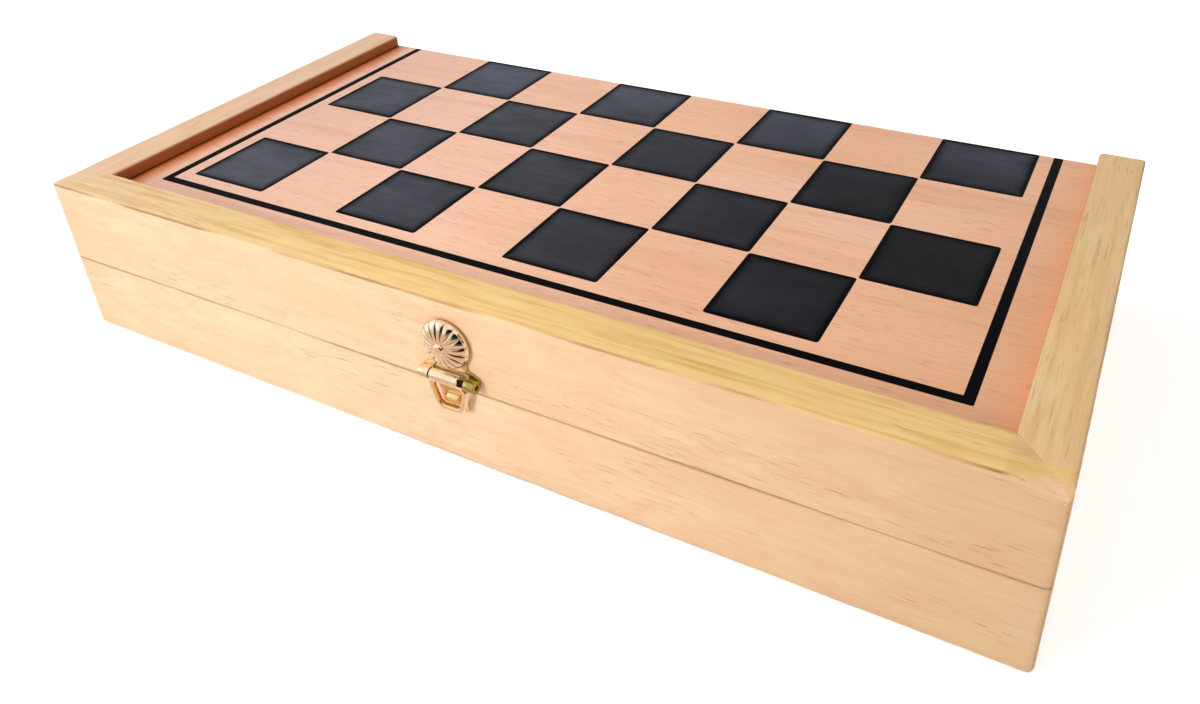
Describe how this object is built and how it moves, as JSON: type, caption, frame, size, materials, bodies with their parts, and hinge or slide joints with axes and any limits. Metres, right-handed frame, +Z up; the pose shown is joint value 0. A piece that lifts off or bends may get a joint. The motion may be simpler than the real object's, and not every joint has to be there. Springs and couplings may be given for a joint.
{
  "type": "chess set",
  "caption": "Closed folding wooden chess box: half a printed board sunk in each side, brass butt hinges, a hasp latch with a fluted rosette, and turned chessmen inside.",
  "frame": {"origin": "Middle of the underside of the closed box's bounding box, on the table.", "axes": "X along the box's length with +X to the latch side viewer's right, -Y the latch side, +Z up. The box is closed and the hasp hangs in front of its catch."},
  "size_m": [0.3486, 0.1805, 0.0614],
  "materials": {
    "frame_wood": "satin clear lacquer on pale hardwood, slightly worn edges",
    "panel_wood": "fine-grained salmon-toned plywood under satin lacquer",
    "board_ink": "printed charcoal ink under lacquer",
    "brass": "bright pressed brass",
    "light_man_wood": "lacquered pale wood",
    "dark_man_wood": "lacquered dark-stained wood"
  },
  "bodies": {
    "base": {"base_back_rail": "frame_wood", "base_board_print": "board_ink", "base_front_rail": "frame_wood", "base_hinge_screws": "brass", "base_left_rail": "frame_wood", "base_panel": "panel_wood", "base_right_rail": "frame_wood", "catch": "brass", "catch_nails": "brass", "dark_bishop_1": "dark_man_wood", "dark_bishop_2": "dark_man_wood", "dark_king_1": "dark_man_wood", "dark_knight_1": "dark_man_wood", "dark_knight_2": "dark_man_wood", "dark_pawn_1": "dark_man_wood", "dark_pawn_2": "dark_man_wood", "dark_pawn_3": "dark_man_wood", "dark_pawn_4": "dark_man_wood", "dark_pawn_5": "dark_man_wood", "dark_pawn_6": "dark_man_wood", "dark_pawn_7": "dark_man_wood", "dark_pawn_8": "dark_man_wood", "dark_queen_1": "dark_man_wood", "dark_rook_1": "dark_man_wood", "dark_rook_2": "dark_man_wood", "left_hinge_base_leaf": "brass", "left_hinge_pin": "brass", "light_bishop_1": "light_man_wood", "light_bishop_2": "light_man_wood", "light_king_1": "light_man_wood", "light_knight_1": "light_man_wood", "light_knight_2": "light_man_wood", "light_pawn_1": "light_man_wood", "light_pawn_2": "light_man_wood", "light_pawn_3": "light_man_wood", "light_pawn_4": "light_man_wood", "light_pawn_5": "light_man_wood", "light_pawn_6": "light_man_wood", "light_pawn_7": "light_man_wood", "light_pawn_8": "light_man_wood", "light_queen_1": "light_man_wood", "light_rook_1": "light_man_wood", "light_rook_2": "light_man_wood", "right_hinge_base_leaf": "brass", "right_hinge_pin": "brass"},
    "lid": {"left_hinge_lid_leaf": "brass", "lid_back_rail": "frame_wood", "lid_board_print": "board_ink", "lid_front_rail": "frame_wood", "lid_hinge_screws": "brass", "lid_left_rail": "frame_wood", "lid_panel": "panel_wood", "lid_right_rail": "frame_wood", "right_hinge_lid_leaf": "brass", "latch_plate": "brass", "latch_pin": "brass", "latch_rosette": "brass", "rosette_nail": "brass"},
    "hasp": {"latch_hasp": "brass"}
  },
  "joints": [
    {"name": "lid_hinge", "type": "hinge", "parent": "base", "child": "lid", "pos_m": [0, 0.08845, 0.0307], "axis": [-1, 0, 0], "range_deg": [0, 180]},
    {"name": "hasp_swing", "type": "hinge", "parent": "lid", "child": "hasp", "pos_m": [0.0034, -0.08735, 0.0352], "axis": [-1, 0, 0], "range_deg": [-5, 150]}
  ]
}
